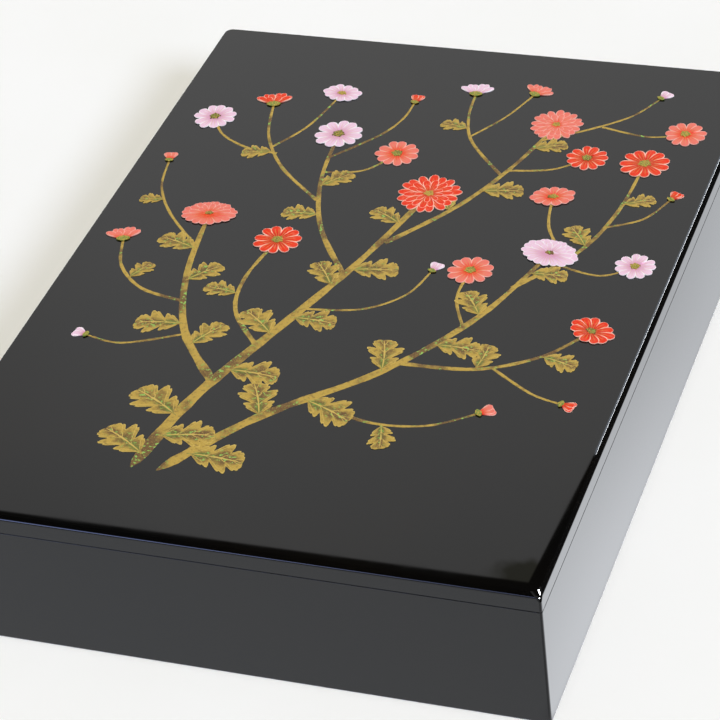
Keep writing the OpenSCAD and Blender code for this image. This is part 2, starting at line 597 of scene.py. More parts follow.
def round_uprights(run, reach, radius):
    """Rounds the two upright outer corners."""
    def upright(edge):
        first, second = (vert.co for vert in edge.verts)
        at_end = near(first.x, second.x) and near(abs(first.x), run / 2)
        return at_end and near(first.y + second.y, -2 * reach)
    ease(upright, radius, CORNER_STEPS)


def faces_in(side):
    """The direction from a side to the inside of the box."""
    turn = math.radians(SIDE_TURN[side])
    return Vector((-math.sin(turn), math.cos(turn), 0))


class BOX_OT_walls(Operator):
    """Model the mitred walls with their rabbets and eased edges"""
    bl_idname = "document_box.walls"
    bl_label = "Walls"

    def execute(self, context):
        joinery = context.scene.box_joinery
        corner = joinery.corner_radius
        thick, top = WALL[1].y - WALL[0].y, WALL[1].z
        seat = LIP[0].y - WALL[0].y
        rim = BOTTOM[0].y - WALL[0].y
        beyond = 1 * MM
        lip_notch = ((seat, LIP[0].z), (thick + beyond, top + beyond))
        foot_notch = ((rim, -beyond), (thick + beyond, BOTTOM[1].z))
        for side in SIDE_TURN:
            piece, run, reach = strip_section(
                f"lacquered_{side}_wall", side, 0, thick, 0, top, (lip_notch, foot_notch)
            )
            round_uprights(run, reach, corner)
            for level, radius in ((0, joinery.edge_ease), (top, joinery.parting_ease)):
                ease(
                    lambda edge: at_height(edge, level) and on_outside(edge, run, reach, corner),
                    radius, EDGE_STEPS,
                )
            cut_mitres(piece, side, run, reach)
            inward = faces_in(side)
            finish_faces(
                piece, "polished_lacquer", "satin_lacquer",
                choose=lambda normal: int(normal.dot(inward) > FACING or normal.z < -FACING),
            )
            settle(piece, "box", "black_lacquer", f"{side}_wall")
        return {"FINISHED"}


class BOX_OT_lips(Operator):
    """Model the raised lip that the lid drops over"""
    bl_idname = "document_box.lips"
    bl_label = "Lip"

    def execute(self, context):
        joinery = context.scene.box_joinery
        inset, thick = LIP[0].y - WALL[0].y, LIP[1].y - LIP[0].y
        for side in SIDE_TURN:
            piece, run, reach = strip_section(
                f"satin_{side}_lip", side, inset, thick, LIP[0].z, LIP[1].z
            )
            ease(
                lambda edge: at_height(edge, LIP[1].z) and near(edge.verts[0].co.y, edge.verts[1].co.y),
                joinery.lip_ease, EDGE_STEPS,
            )
            cut_mitres(piece, side, run, reach)
            finish_faces(piece, "satin_lacquer")
            settle(piece, "box", "inner_lacquer", f"{side}_lip")
        return {"FINISHED"}


class BOX_OT_inside(Operator):
    """Finish the bottom board and the hidden corner splines"""
    bl_idname = "document_box.inside"
    bl_label = "Bottom and splines"

    def execute(self, context):
        for node, name in (("bottom_board", "satin_lacquer"), ("corner_splines", "bare_wood")):
            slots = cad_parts[node].data.materials
            slots.clear()
            slots.append(finish(name))
        return {"FINISHED"}


class BOX_OT_lid_rails(Operator):
    """Model the mitred rails under the lid's top board"""
    bl_idname = "document_box.lid_rails"
    bl_label = "Lid rails"

    def execute(self, context):
        joinery = context.scene.box_joinery
        corner = joinery.corner_radius
        thick = RAIL[1].y - RAIL[0].y
        for side in SIDE_TURN:
            piece, run, reach = strip_section(
                f"lacquered_lid_{side}_rail", side, 0, thick, RAIL[0].z, RAIL[1].z
            )
            round_uprights(run, reach, corner)
            ease(
                lambda edge: at_height(edge, RAIL[0].z) and (
                    on_outside(edge, run, reach, corner)
                    or all(near(vert.co.y, thick - reach) for vert in edge.verts)
                ),
                joinery.parting_ease, EDGE_STEPS,
            )
            cut_mitres(piece, side, run, reach)
            inward = faces_in(side)
            finish_faces(
                piece, "polished_lacquer", "satin_lacquer",
                choose=lambda normal: int(normal.dot(inward) > FACING),
            )
            settle(piece, "lid", "black_lacquer", f"lid_{side}_rail")
        return {"FINISHED"}


class BOX_OT_lid_board(Operator):
    """Loft the lid's top board, with its bevelled shoulder and rounded corners"""
    bl_idname = "document_box.lid_board"
    bl_label = "Lid board"

    def execute(self, context):
        joinery = context.scene.box_joinery
        lower, upper = joinery.lower_ease, joinery.upper_ease
        slope = math.atan(joinery.shoulder_width / joinery.shoulder_height)
        upright = math.pi / 2
        low = LID_TOP - joinery.shoulder_height - lower * math.tan(slope / 2)
        flat = joinery.shoulder_width + upper * math.tan((upright - slope) / 2)
        levels = [(0, BOARD[0].z), (0, BOARD[0].z + joinery.board_foot)]
        tight = len(levels)
        for step in range(joinery.shoulder_steps + 1):
            turn = slope * step / joinery.shoulder_steps
            levels.append((lower * (1 - math.cos(turn)), low + lower * math.sin(turn)))
        for step in range(joinery.shoulder_steps + 1):
            turn = slope + (upright - slope) * step / joinery.shoulder_steps
            levels.append((flat - upper * math.cos(turn), LID_TOP - upper * (1 - math.sin(turn))))
        board = None
        for index, (inset, height) in enumerate(levels):
            level = (0, 0, height)
            opening = 0 if index < tight else joinery.corner_open
            if board is None:
                board = start_piece("lacquered_lid_board", bpy.ops.mesh.primitive_plane_add, location=level)
            else:
                bpy.ops.mesh.primitive_plane_add(location=level)
            bpy.ops.transform.resize(
                value=(BOX_W / 2 - inset, BOX_D / 2 - inset, 1), center_override=level
            )
            bpy.ops.mesh.bevel(
                offset=joinery.corner_radius + opening + joinery.corner_roll * inset,
                segments=BOARD_CORNER_STEPS, profile=0.5, affect="VERTICES",
            )
            bpy.ops.mesh.delete(type="ONLY_FACE")
        pick_all()
        bpy.ops.mesh.bridge_edge_loops(type="SINGLE")
        for height in (BOARD[0].z, LID_TOP):
            pick("EDGE", lambda edge: at_height(edge, height))
            bpy.ops.mesh.edge_face_add()
        end_edit()
        smooth(board)
        finish_faces(
            board, "polished_lacquer", "satin_lacquer", choose=lambda normal: int(normal.z < -FACING)
        )
        settle(board, "lid", "black_lacquer", "lid_top_board")
        return {"FINISHED"}


# Painted spray, drawn in millimetres on the lid: x to the right, y to the back

# Outlines of a petal and a leaf: share of the length, then share of the half width
PETAL_OUTLINE = (
    (0, 0.34), (0.2, 0.5), (0.42, 0.78), (0.62, 0.98), (0.78, 1.0), (0.89, 0.84), (0.96, 0.54), (1, 0.14),
)
LEAF_OUTLINE = (
    (0, 0.05), (0.08, 0.06), (0.12, 0.3), (0.18, 0.58), (0.23, 0.66), (0.25, 0.6), (0.30, 0.76),
    (0.335, 0.76), (0.365, 0.6), (0.385, 0.36), (0.42, 0.5), (0.48, 0.86), (0.52, 0.94), (0.545, 0.86),
    (0.59, 1.0), (0.63, 0.98), (0.66, 0.8), (0.68, 0.46), (0.71, 0.5), (0.76, 0.66), (0.80, 0.68),
    (0.825, 0.58), (0.86, 0.62), (0.90, 0.54), (0.925, 0.4), (0.95, 0.38), (0.98, 0.24), (1, 0.06),
)
# Half widths of petals and sepals that are 1 long
PETAL_WIDTHS = {"slim_petal": 0.17, "round_petal": 0.235, "sepal": 0.24}
# Levels of a dome: share of its width drawn in, then share of its relief raised
DOME_LEVELS = ((0.16, 0.6), (0.18, 0.3))
# How far the brush strays: a petal's turn in radians, its width and length, and a stem's width
PETAL_TURN = (-0.07, 0.07)
PETAL_WIDTH = (0.94, 1.08)
PETAL_LENGTH = (0.92, 1.04)
STEM_WIDTH = (0.86, 1.14)
# A leaf's turn away from its stem, in degrees
LEAF_TURN = (48, 68)
# Height of the lowest leaf above the lid, and from each leaf to the next, so that no two share a plane
LEAF_LIFT = 0.1 * MM
LEAF_STEP = 0.003 * MM
# Height of a flower's lowest petal above the lid, in reliefs
HEAD_LIFT = 1.7
# On a head of radius 1: where petals start, the shortest that one looks, and the depth of a calyx
PETAL_START = 0.1
PETAL_SHORTEST = 0.3
CALYX_DEPTH = 0.2
# How far the heart of a leaning head moves forward
HEART_SHIFT = 0.1
# Dots of gold on a heart, how far out they reach and how high they lie
DOTS = 14
DOT_REACH = 1.15
DOT_RISE = 1.1
# Sepals of a calyx, and the turn in degrees and the step up from one to the next
SEPALS = 5
SEPAL_TURN = 24
SEPAL_STEP = 0.04
SEPAL_SIZE = (0.5, 0.5, 1)


def blade(name, outline, half_width, columns, dome, relief, bend=0.0, sweep=0.0):
    """Models a unit-long painted stroke along +Y as a closed low relief, from a grid.

    Each row of the grid is moved to its place along the stroke and drawn in to its width.
    The rows sweep forward at their ends, and the whole bends sideways towards its tip.
    """
    rows = len(outline)
    piece = start_piece(
        name, bpy.ops.mesh.primitive_grid_add, size=(0.5, 0.5, 1), location=(0, 0.5, 0),
        x_subdivisions=columns, y_subdivisions=rows - 1,
    )
    piece.data.uv_layers.active.name = PAINT_UV
    width = columns + 1
    for row, (along, share) in enumerate(outline):
        start = row / (rows - 1)
        pick("VERT", lambda vert: vert.index // width == row)
        bpy.ops.transform.resize(value=(2 * half_width * share, 1, 1), center_override=(0, start, 0))
        bpy.ops.transform.translate(value=(bend * along * along, along - start, 0))
        for column in range(columns // 2 if sweep else 0):
            pick("VERT", lambda vert: vert.index - row * width in (column, columns - column))
            outward = 1 - 2 * column / columns
            bpy.ops.transform.translate(value=(0, sweep * share * outward, 0))
    for level in range(1, columns // 2 + 1):
        pick("VERT", lambda vert: (
            level <= vert.index % width <= columns - level and 0 < vert.index // width < rows - 1
        ))
        bpy.ops.transform.translate(value=(0, 0, dome / level))
    pick("EDGE", lambda edge: edge.is_boundary)
    bpy.ops.mesh.extrude_edges_move(TRANSFORM_OT_translate={"value": (0, 0, -relief)})
    bpy.ops.mesh.edge_face_add()
    end_edit()
    shade(CRISP_ANGLE)
    return piece


def low_dome(name, width, relief):
    """Models a small round dome, from a disc."""
    piece = start_piece(
        name, bpy.ops.mesh.primitive_circle_add, vertices=10, radius=width / 2, fill_type="NGON"
    )
    piece.data.uv_layers.active.name = PAINT_UV
    bpy.ops.mesh.extrude_region_move(TRANSFORM_OT_translate={"value": (0, 0, relief)})
    for inset, raised in DOME_LEVELS:
        bpy.ops.mesh.inset(thickness=width * inset)
        bpy.ops.transform.translate(value=(0, 0, relief * raised))
    end_edit()
    shade(ROUND_ANGLE)
    return piece


def copy_of(model, name, place, turn=0.0, size=(1, 1, 1)):
    """A copy with its own mesh, set in its place, alone selected and active."""
    select_only(model)
    bpy.ops.object.duplicate()
    piece = bpy.context.object
    piece.name = name
    piece.location = place
    piece.rotation_euler.z = turn
    piece.scale = size
    return piece


def join_all(pieces, name):
    """Makes one mesh of several, with their places applied."""
    select_only(*pieces)
    apply_place()
    if len(pieces) > 1:
        bpy.ops.object.join()
    joined = bpy.context.object
    joined.name = name
    return joined


def drop(pieces):
    """Removes models that have been copied."""
    select_only(*pieces)
    bpy.ops.object.delete()


def flower_model(name, models, shape, chance):
    """Models a flower head of unit radius at the origin, facing up or leaning away from its stem.

    A ring is its petal count, its length and its rise from the head's plane in degrees.
    A leaning head is drawn as it is seen: near petals short and in front, far ones long.
    """
    petal_name, rings, tilt_degrees, heart_size = shape
    rise = bpy.context.scene.box_spray.head_rise
    tilt = math.radians(tilt_degrees)
    strokes = []
    for level, (count, length, up_degrees) in enumerate(rings):
        up = math.radians(up_degrees)
        for index in range(count):
            way = 2 * math.pi * (index + 0.5 * (level % 2)) / count + chance.uniform(*PETAL_TURN)
            across = math.sin(way) * math.cos(up)
            forward = math.cos(way) * math.cos(up) * math.cos(tilt) + math.sin(up) * math.sin(tilt)
            nearness = -math.cos(way) * math.sin(tilt)
            layer = level if nearness <= 0 else 2 * len(rings) - level
            strokes.append((layer, nearness, across, forward, length))
    strokes.sort(key=lambda stroke: stroke[:2])
    base = 0.0 if heart_size else CALYX_DEPTH
    pieces = []
    for index, (*_, across, forward, length) in enumerate(strokes):
        seen = max(math.hypot(across, forward), PETAL_SHORTEST)
        turn = math.atan2(-across, forward)
        start = PETAL_START * length * seen
        place = (-math.sin(turn) * start, base + math.cos(turn) * start, rise * index / len(strokes))
        wide = length * chance.uniform(*PETAL_WIDTH)
        long = length * seen * chance.uniform(*PETAL_LENGTH)
        pieces.append(copy_of(models[petal_name], "petal", place, turn, (wide, long, 1)))
    if heart_size:
        middle = HEART_SHIFT * math.sin(tilt)
        flat = math.cos(tilt)
        heart = (heart_size, heart_size * flat, 1)
        pieces.append(copy_of(models["heart"], "heart", (0, middle, rise), 0, heart))
        golden = math.pi * (3 - math.sqrt(5))
        for index in range(DOTS):
            spread = heart_size * DOT_REACH * math.sqrt((index + 0.5) / DOTS)
            across = spread * math.cos(index * golden)
            forward = middle + spread * math.sin(index * golden) * flat
            pieces.append(copy_of(models["dot"], "dot", (across, forward, rise * DOT_RISE)))
    else:
        for index in range(SEPALS):
            turn = math.radians(SEPAL_TURN * (index - SEPALS // 2))
            place = (0, 0, rise * (1 + SEPAL_STEP * index))
            pieces.append(copy_of(models["sepal"], "sepal", place, turn, SEPAL_SIZE))
    return join_all(pieces, name)


# Flower heads: petal, rings, lean in degrees, size of the heart or 0 for a head with a calyx
HEADS = {
    "open": ("slim_petal", ((17, 1, 4), (14, 0.79, 16), (9, 0.56, 34)), 0, 0.13),
    "leaning": ("slim_petal", ((17, 1, 6), (13, 0.86, 28), (8, 0.68, 50)), 46, 0.12),
    "single": ("round_petal", ((11, 1, 3),), 0, 0.24),
    "turned": ("round_petal", ((11, 1, 10),), 44, 0.22),
    "side": ("slim_petal", ((9, 1.2, 38), (8, 1.15, 60)), 86, 0),
    "bud": ("round_petal", ((5, 1.3, 68), (4, 1.2, 80)), 88, 0),
}
# A stem: its head, paint and width, its own width at foot and tip, and points from foot to tip
STEMS = (
    ("open", "vermilion", 24, 5.6, 2.2, ((-44, -132), (-36, -88), (-19, -40), (-3, 6), (10, 56))),
    ("leaning", "coral", 21, 3.8, 1.7, ((-33, -78), (-55, -50), (-68, -14), (-74, 26))),
    ("leaning", "pale", 22, 4.8, 1.8, ((-34, -132), (-8, -95), (28, -60), (54, -20), (69, 24))),
    ("single", "pale", 19, 2.4, 1.4, ((-6, -4), (-26, 26), (-37, 58), (-41, 92))),
    ("turned", "vermilion", 18, 2.3, 1.3, ((33, -54), (62, -52), (84, -40), (98, -22))),
    ("open", "coral", 20, 2.6, 1.4, ((3, 20), (24, 50), (38, 82), (47, 114))),
    ("single", "vermilion", 18, 2.1, 1.3, ((-24, -54), (-40, -34), (-44, -12), (-40, 14))),
    ("single", "vermilion", 19, 2.2, 1.2, ((61, 0), (80, 28), (88, 58), (90, 92))),
    ("side", "coral", 14, 1.7, 1.1, ((-62, -32), (-82, -27), (-96, -14), (-102, 2))),
    ("side", "vermilion", 15, 1.7, 1.1, ((-34, 44), (-56, 64), (-70, 86), (-76, 108))),
    ("side", "pale", 14, 1.5, 1.0, ((35, 74), (16, 96), (9, 114), (7, 130))),
    ("bud", "coral", 10, 1.7, 1.0, ((6, -81), (32, -90), (54, -88), (70, -78))),
    ("bud", "pale", 9, 1.4, 0.9, ((44, 102), (62, 114), (76, 126), (84, 140))),
    ("bud", "vermilion", 9, 1.3, 0.9, ((86, 46), (99, 54), (106, 68))),
    ("bud", "coral", 9, 1.3, 0.9, ((-71, 4), (-90, 24), (-101, 42), (-105, 60))),
    ("bud", "vermilion", 9, 1.3, 0.9, ((-40, 74), (-24, 94), (-18, 108), (-17, 120))),
    ("bud", "pale", 9, 1.3, 0.9, ((-14, -28), (8, -24), (22, -12), (27, 4))),
    ("bud", "vermilion", 9, 1.3, 0.9, ((68, -50), (86, -62), (98, -66))),
    ("bud", "pale", 9, 1.3, 0.9, ((-54, -52), (-76, -62), (-91, -60))),
    ("single", "pale", 17, 1.3, 1.0, ((-62, 74), (-76, 76), (-90, 84), (-98, 96))),
    ("single", "coral", 17, 1.4, 1.0, ((50, -28), (42, -10), (42, 8))),
    ("turned", "coral", 17, 1.4, 1.0, ((76, 22), (64, 42), (60, 62))),
    ("single", "vermilion", 16, 1.3, 1.0, ((36, 78), (54, 82), (66, 92))),
    ("single", "coral", 17, 1.3, 1.0, ((-38, 64), (-22, 68), (-12, 82))),
    ("single", "coral", 16, 1.2, 0.9, ((66, 116), (86, 112), (101, 116))),
    ("turned", "pale", 16, 1.3, 0.9, ((-66, 78), (-56, 96), (-50, 122))),
    ("side", "coral", 13, 1.2, 0.9, ((14, 100), (24, 116), (31, 134))),
    ("single", "pale", 15, 1.3, 0.9, ((74, 18), (92, 14), (104, 22))),
)
# The stems that grow from no other stem, the share of its width at which such a foot starts,
# and what it gains from point to point
FREE_FEET = (0, 2)
FOOT_POINT = 0.12
FOOT_GROWTH = 0.55
# A leaf: its stem, share along it, side (1 left, -1 right) and length
LEAVES = (
    (0, 0.06, 1, 22), (0, 0.11, -1, 21), (0, 0.20, 1, 23), (0, 0.34, -1, 21), (0, 0.47, 1, 19),
    (0, 0.52, -1, 18), (0, 0.66, 1, 17), (0, 0.72, -1, 19), (0, 0.88, 1, 15), (1, 0.24, -1, 17),
    (1, 0.36, 1, 19), (1, 0.62, -1, 16), (1, 0.8, 1, 17), (2, 0.1, -1, 22), (2, 0.24, 1, 20),
    (2, 0.34, -1, 22), (2, 0.5, 1, 19), (2, 0.62, -1, 18), (2, 0.76, 1, 17), (2, 0.9, -1, 15),
    (3, 0.4, 1, 15), (3, 0.64, -1, 15), (4, 0.34, 1, 15), (4, 0.66, -1, 15), (5, 0.3, 1, 15),
    (5, 0.46, -1, 17), (5, 0.78, -1, 14), (6, 0.5, 1, 14), (7, 0.36, 1, 15), (7, 0.7, -1, 13),
    (8, 0.5, -1, 12), (9, 0.5, 1, 13), (10, 0.5, 1, 12), (11, 0.4, -1, 14), (14, 0.5, 1, 10),
)


def stroke_line(knots, steps=8):
    """Points of a smooth line through the knots."""
    ends = [Vector(knot) for knot in (knots[0], *knots, knots[-1])]
    line = []
    for before, start, end, after in zip(ends, ends[1:], ends[2:], ends[3:]):
        for step in range(steps):
            t = step / steps
            line.append(
                start + 0.5 * t * (end - before)
                + 0.5 * t * t * (2 * before - 5 * start + 4 * end - after)
                + 0.5 * t ** 3 * (3 * start - before - 3 * end + after)
            )
    return [*line, ends[-1]]


def heading(line, index):
    """The turn from +Y to the way a line runs at one of its points."""
    way = line[min(index + 1, len(line) - 1)] - line[max(index - 1, 0)]
    return math.atan2(-way.x, way.y)


def draw_stem(knots, foot_width, tip_width, rise, chance, free_foot):
    """Draws one brush stroke along the knots, thinner towards its tip, and flattens it on the lid.

    A free foot is drawn to a point, as where the brush comes down.
    """
    line = stroke_line(knots)
    select_only()
    bpy.ops.curve.primitive_nurbs_path_add(radius=1, location=(0, 0, 0))
    curve = bpy.context.object.data
    curve.splines.clear()
    stroke = curve.splines.new("POLY")
    stroke.points.add(len(line) - 1)
    for index, (point, knot) in enumerate(zip(line, stroke.points)):
        share = index / (len(line) - 1)
        knot.co = (point.x * MM, point.y * MM, 0, 1)
        knot.radius = (foot_width + (tip_width - foot_width) * share) / 2 * chance.uniform(*STEM_WIDTH)
        if free_foot:
            knot.radius *= min(FOOT_POINT + FOOT_GROWTH * index, 1)
    curve.bevel_depth = MM
    curve.bevel_resolution = 2
    curve.use_fill_caps = True
    bpy.ops.object.convert(target="MESH")
    stem = bpy.context.object
    stem.scale.z = 2 * rise / (foot_width * MM)
    stem.location.z = LID_TOP
    return stem


class BOX_OT_stems(Operator):
    """Draw the gold stems as tapered brush strokes"""
    bl_idname = "document_box.stems"
    bl_label = "Stems"

    def execute(self, context):
        chance = random.Random(3)
        rise = context.scene.box_spray.stem_rise
        stems = [
            draw_stem(knots, foot, tip, rise, chance, index in FREE_FEET)
            for index, (*_, foot, tip, knots) in enumerate(STEMS)
        ]
        piece = join_all(stems, "painted_stems")
        shade(ROUND_ANGLE)
        finish_faces(piece, "gold_powder")
        settle(piece, "lid", "gold_paint")
        return {"FINISHED"}


class BOX_OT_leaves(Operator):
    """Paint the lobed leaves in gold, brown and green"""
    bl_idname = "document_box.leaves"
    bl_label = "Leaves"

    def execute(self, context):
        spray = context.scene.box_spray
        chance = random.Random(5)
        models = {
            side: blade(
                "leaf_model", LEAF_OUTLINE, half_width=0.38, columns=6, dome=0.04 * MM, relief=spray.relief,
                bend=-0.12 * side, sweep=0.14,
            )
            for side in (1, -1)
        }
        leaves = []
        for index, (stem, share, side, length) in enumerate(LEAVES):
            line = stroke_line(STEMS[stem][-1])
            at = round(share * (len(line) - 1))
            turn = heading(line, at) + side * math.radians(chance.uniform(*LEAF_TURN))
            place = (line[at].x * MM, line[at].y * MM, LID_TOP + LEAF_LIFT + LEAF_STEP * index)
            leaves.append(copy_of(models[side], "leaf", place, turn, (length * MM, length * MM, 1)))
        drop(models.values())
        piece = join_all(leaves, "painted_leaves")
        finish_faces(piece, "gold_leaf_paint")
        settle(piece, "lid", "gold_paint")
        return {"FINISHED"}


class BOX_OT_flowers(Operator):
    """Paint the flowers and buds, petal by petal"""
    bl_idname = "document_box.flowers"
    bl_label = "Flowers"

    def execute(self, context):
        spray = context.scene.box_spray
        chance = random.Random(7)
        models = {
            name: blade(
                f"{name}_model", PETAL_OUTLINE, half_width, columns=4, dome=spray.petal_dome / 2,
                relief=spray.relief * 2,
            )
            for name, half_width in PETAL_WIDTHS.items()
        }
        models["heart"] = low_dome("heart_model", width=2, relief=spray.relief * 0.6)
        models["dot"] = low_dome("dot_model", width=0.09, relief=spray.relief)
        paints = {"sepal": "calyx_green", "heart": "calyx_green", "dot": "gold_powder"}
        for name, model in models.items():
            finish_faces(model, paints.get(name, "vermilion_petal"))
        heads = {
            name: flower_model(f"{name}_head", models, shape, chance) for name, shape in HEADS.items()
        }
        for index, (head, paint, width, *_, knots) in enumerate(STEMS):
            line = stroke_line(knots)
            flower = copy_of(
                heads[head], f"painted_{paint}_{head}_{index + 1}",
                (line[-1].x * MM, line[-1].y * MM, LID_TOP + spray.relief * HEAD_LIFT),
                heading(line, len(line) - 1), (width / 2 * MM, width / 2 * MM, 1),
            )
            apply_place()
            for slot in flower.material_slots:
                if slot.material.name == "vermilion_petal":
                    slot.material = finish(f"{paint}_petal")
            settle(flower, "lid", "pale_pink_paint" if paint == "pale" else f"{paint}_paint")
        drop([*models.values(), *heads.values()])
        return {"FINISHED"}


# Stage

FLOOR_RADIUS = 6
FLOOR_FIBRE = tint(249, 249, 249)
BACKDROP = (0.95, 0.95, 0.95, 1)
WARM = (1.05, 1.02, 0.92)
COOL = (0.87, 0.95, 1.19)
# A sun: its name, spread in degrees, way to it and colour
SUNS = (
    ("top_light", 32, (0.2, -0.2, 0.96), WARM),
    ("key_light", 12, (1.0, -0.95, 0.92), COOL),
)
# A small lamp close to the lacquer, in millimetres and degrees: name, place, size, strength, spread, aim
SMALL_LAMPS = (
    ("strip_light", (122.8, 43, 61.5), (259, 0.6), 48, 180, (118.8, 43, 59.8)),
    ("glint_light", (128.4, -164.1, 66.2), (4, 4), 16, 70, (119, -166, 58.6)),
    ("glint_light", (129.5, -172.4, 56.4), (4, 4), 22, 70, (119, -166, 57.4)),
)
LAMP_COLOUR = (0.9, 0.95, 1)
# Colours of the painted reflection that polished faces mirror, where 1 is white
FLOOR_PALE = (0.86, 0.86, 0.86, 1)
FLOOR_DARK = (0.36, 0.37, 0.40, 1)
FLOOR_TONE = (0.97, 1, 1.045, 1)
BRIGHT_BLUE = (3.0, 3.7, 7.2, 1)
FADED_BLUE = (0.5, 0.58, 0.95, 1)
PANE_LIGHT = (1.7, 1.9, 2.25, 1)
REFLECTED_PATCH_GREY = (0.26, 0.26, 0.21, 1)
DARK = (0.01, 0.01, 0.01, 1)
# Light on the mirrored floor at the right: steps by place in metres, and the values at their ends
LIGHT_BY_DEPTH = (-0.14, 0.1, 1.80, 1.28)
LIGHT_BY_WALL = (0.12, 0.142, 1.05, 0.965)
LIGHT_FRONT_END = (-0.172, -0.160, 0.3, 1.0)
LIGHT_RIGHT_END = (0.157, 0.166, 1.0, 0.02)
# Slant of the light's right end, and how far back it slants
LIGHT_SLANT = 0.155
SLANT_END = 0.05
# Front end of the pale floor, and the blue far in front, which fades to the right
PALE_FRONT_END = (-0.29, -0.265)
BLUE_BACK_END = (-0.60, -0.56)
BLUE_FADE = (-0.28, -0.06)
# Grey of the studio's screens by height above the horizon, and its share by turn from the back, in degrees
SCREEN_BY_HEIGHT = (
    (0, 0.36), (20, 0.42), (28, 0.84), (33, 0.80), (37, 0.76), (42, 0.64), (47, 0.26), (52, 0.02),
    (90, 0.015),
)
SCREEN_BY_TURN = (
    (-180, 0.55), (-174, 0.55), (-169, 0), (-152, 0), (-116, 0.85), (-32, 0.84), (-28, 1), (45, 1),
    (50, 0.6), (78, 0.6), (84, 0), (130, 0), (138, 0.55), (180, 0.55),
)
# The screen behind the box: its left and right ends in degrees
BEHIND_LEFT = (-48, -42)
BEHIND_RIGHT = (45, 50)
# Its near edge by the way back for each rise, its right edge by the way right, and how both slant
NEAR_EDGE = (1.0839, 1.0855)
NEAR_SLANT = -0.012
RIGHT_EDGE = (-0.4400, -0.4390)
RIGHT_SLANT = -0.056
# A bright pane past the right edge: its foot by the way back, its height and right end in degrees
PANE_FOOT = (0.7430, 0.7445)
PANE_HEIGHT = (22, 28)
PANE_RIGHT = (36, 42)
# A soft painted reflection of a grey patch in the corner of the two edges
REFLECTED_PATCH_RIGHT = (-0.478, -0.440)
REFLECTED_PATCH_NEAR = (1.084, 1.106)
REFLECTED_PATCH_CLOUD = (0.58, 1.05)
# Scale of its ragged rim, and how ragged it is
REFLECTED_PATCH_SCALE = 130
REFLECTED_PATCH_RAGGED = 0.7
# A low blue band in front on the left: its height, left and right ends in degrees
BAND_HEIGHT = (4, 9)
BAND_LEFT = (-162, -148)
BAND_RIGHT = (-142, -134)


def mirrored_floor(tree, place):
    """The painted reflection of the floor that polished faces see: pale, with painted light on the right,
    dark and then blue far in front.
    """
    across, back, _ = split_axes(tree, place)
    slanted = reckon(tree, "MULTIPLY_ADD", reckon(tree, "MINIMUM", back, SLANT_END), LIGHT_SLANT, across)
    light = product(
        tree, ramp(tree, back, *LIGHT_BY_DEPTH), ramp(tree, across, *LIGHT_BY_WALL),
        ramp(tree, back, *LIGHT_FRONT_END), ramp(tree, slanted, *LIGHT_RIGHT_END),
    )
    right = ramp(tree, across, BOX_W / 2 - 6 * MM, BOX_W / 2 + 2 * MM)
    pale = mix_colours(tree, right, FLOOR_PALE, light)
    pale = mix_colours(tree, 1.0, pale, FLOOR_TONE, "MULTIPLY")
    blue = mix_colours(tree, ramp(tree, across, *BLUE_FADE), BRIGHT_BLUE, FADED_BLUE)
    far = mix_colours(tree, ramp(tree, back, *BLUE_BACK_END), blue, FLOOR_DARK)
    return mix_colours(tree, ramp(tree, back, *PALE_FRONT_END), far, pale)


def lay_floor(stage):
    """A wide pale floor; polished faces see instead a painted reflection of it that glows in a light of its
    own.
    """
    select_only()
    bpy.ops.mesh.primitive_circle_add(vertices=96, radius=FLOOR_RADIUS, fill_type="NGON")
    floor = bpy.context.object
    floor.name = "floor"
    material, tree, shader, place = new_finish("pale_floor", **{"Specular IOR Level": 0.0})
    paper = ramp(tree, noise(tree, place, 9, 3), *NOISE_SPAN)
    tree.links.new(mix_colours(tree, paper, stage.floor, FLOOR_FIBRE), shader.inputs["Base Color"])
    # Glossy rays see the floor's painted reflection, a glow that is no lamp, instead of the lit floor
    path = add_node(tree, "ShaderNodeLightPath")
    glow = add_node(tree, "ShaderNodeEmission", {"Color": mirrored_floor(tree, place), "Strength": 1.0})
    seen = add_node(tree, "ShaderNodeMixShader", {0: path.outputs["Is Glossy Ray"]})
    tree.links.new(shader.outputs[0], seen.inputs[1])
    tree.links.new(glow.outputs[0], seen.inputs[2])
    tree.links.new(seen.outputs[0], tree.nodes["Material Output"].inputs["Surface"])
    floor.data.materials.append(material)


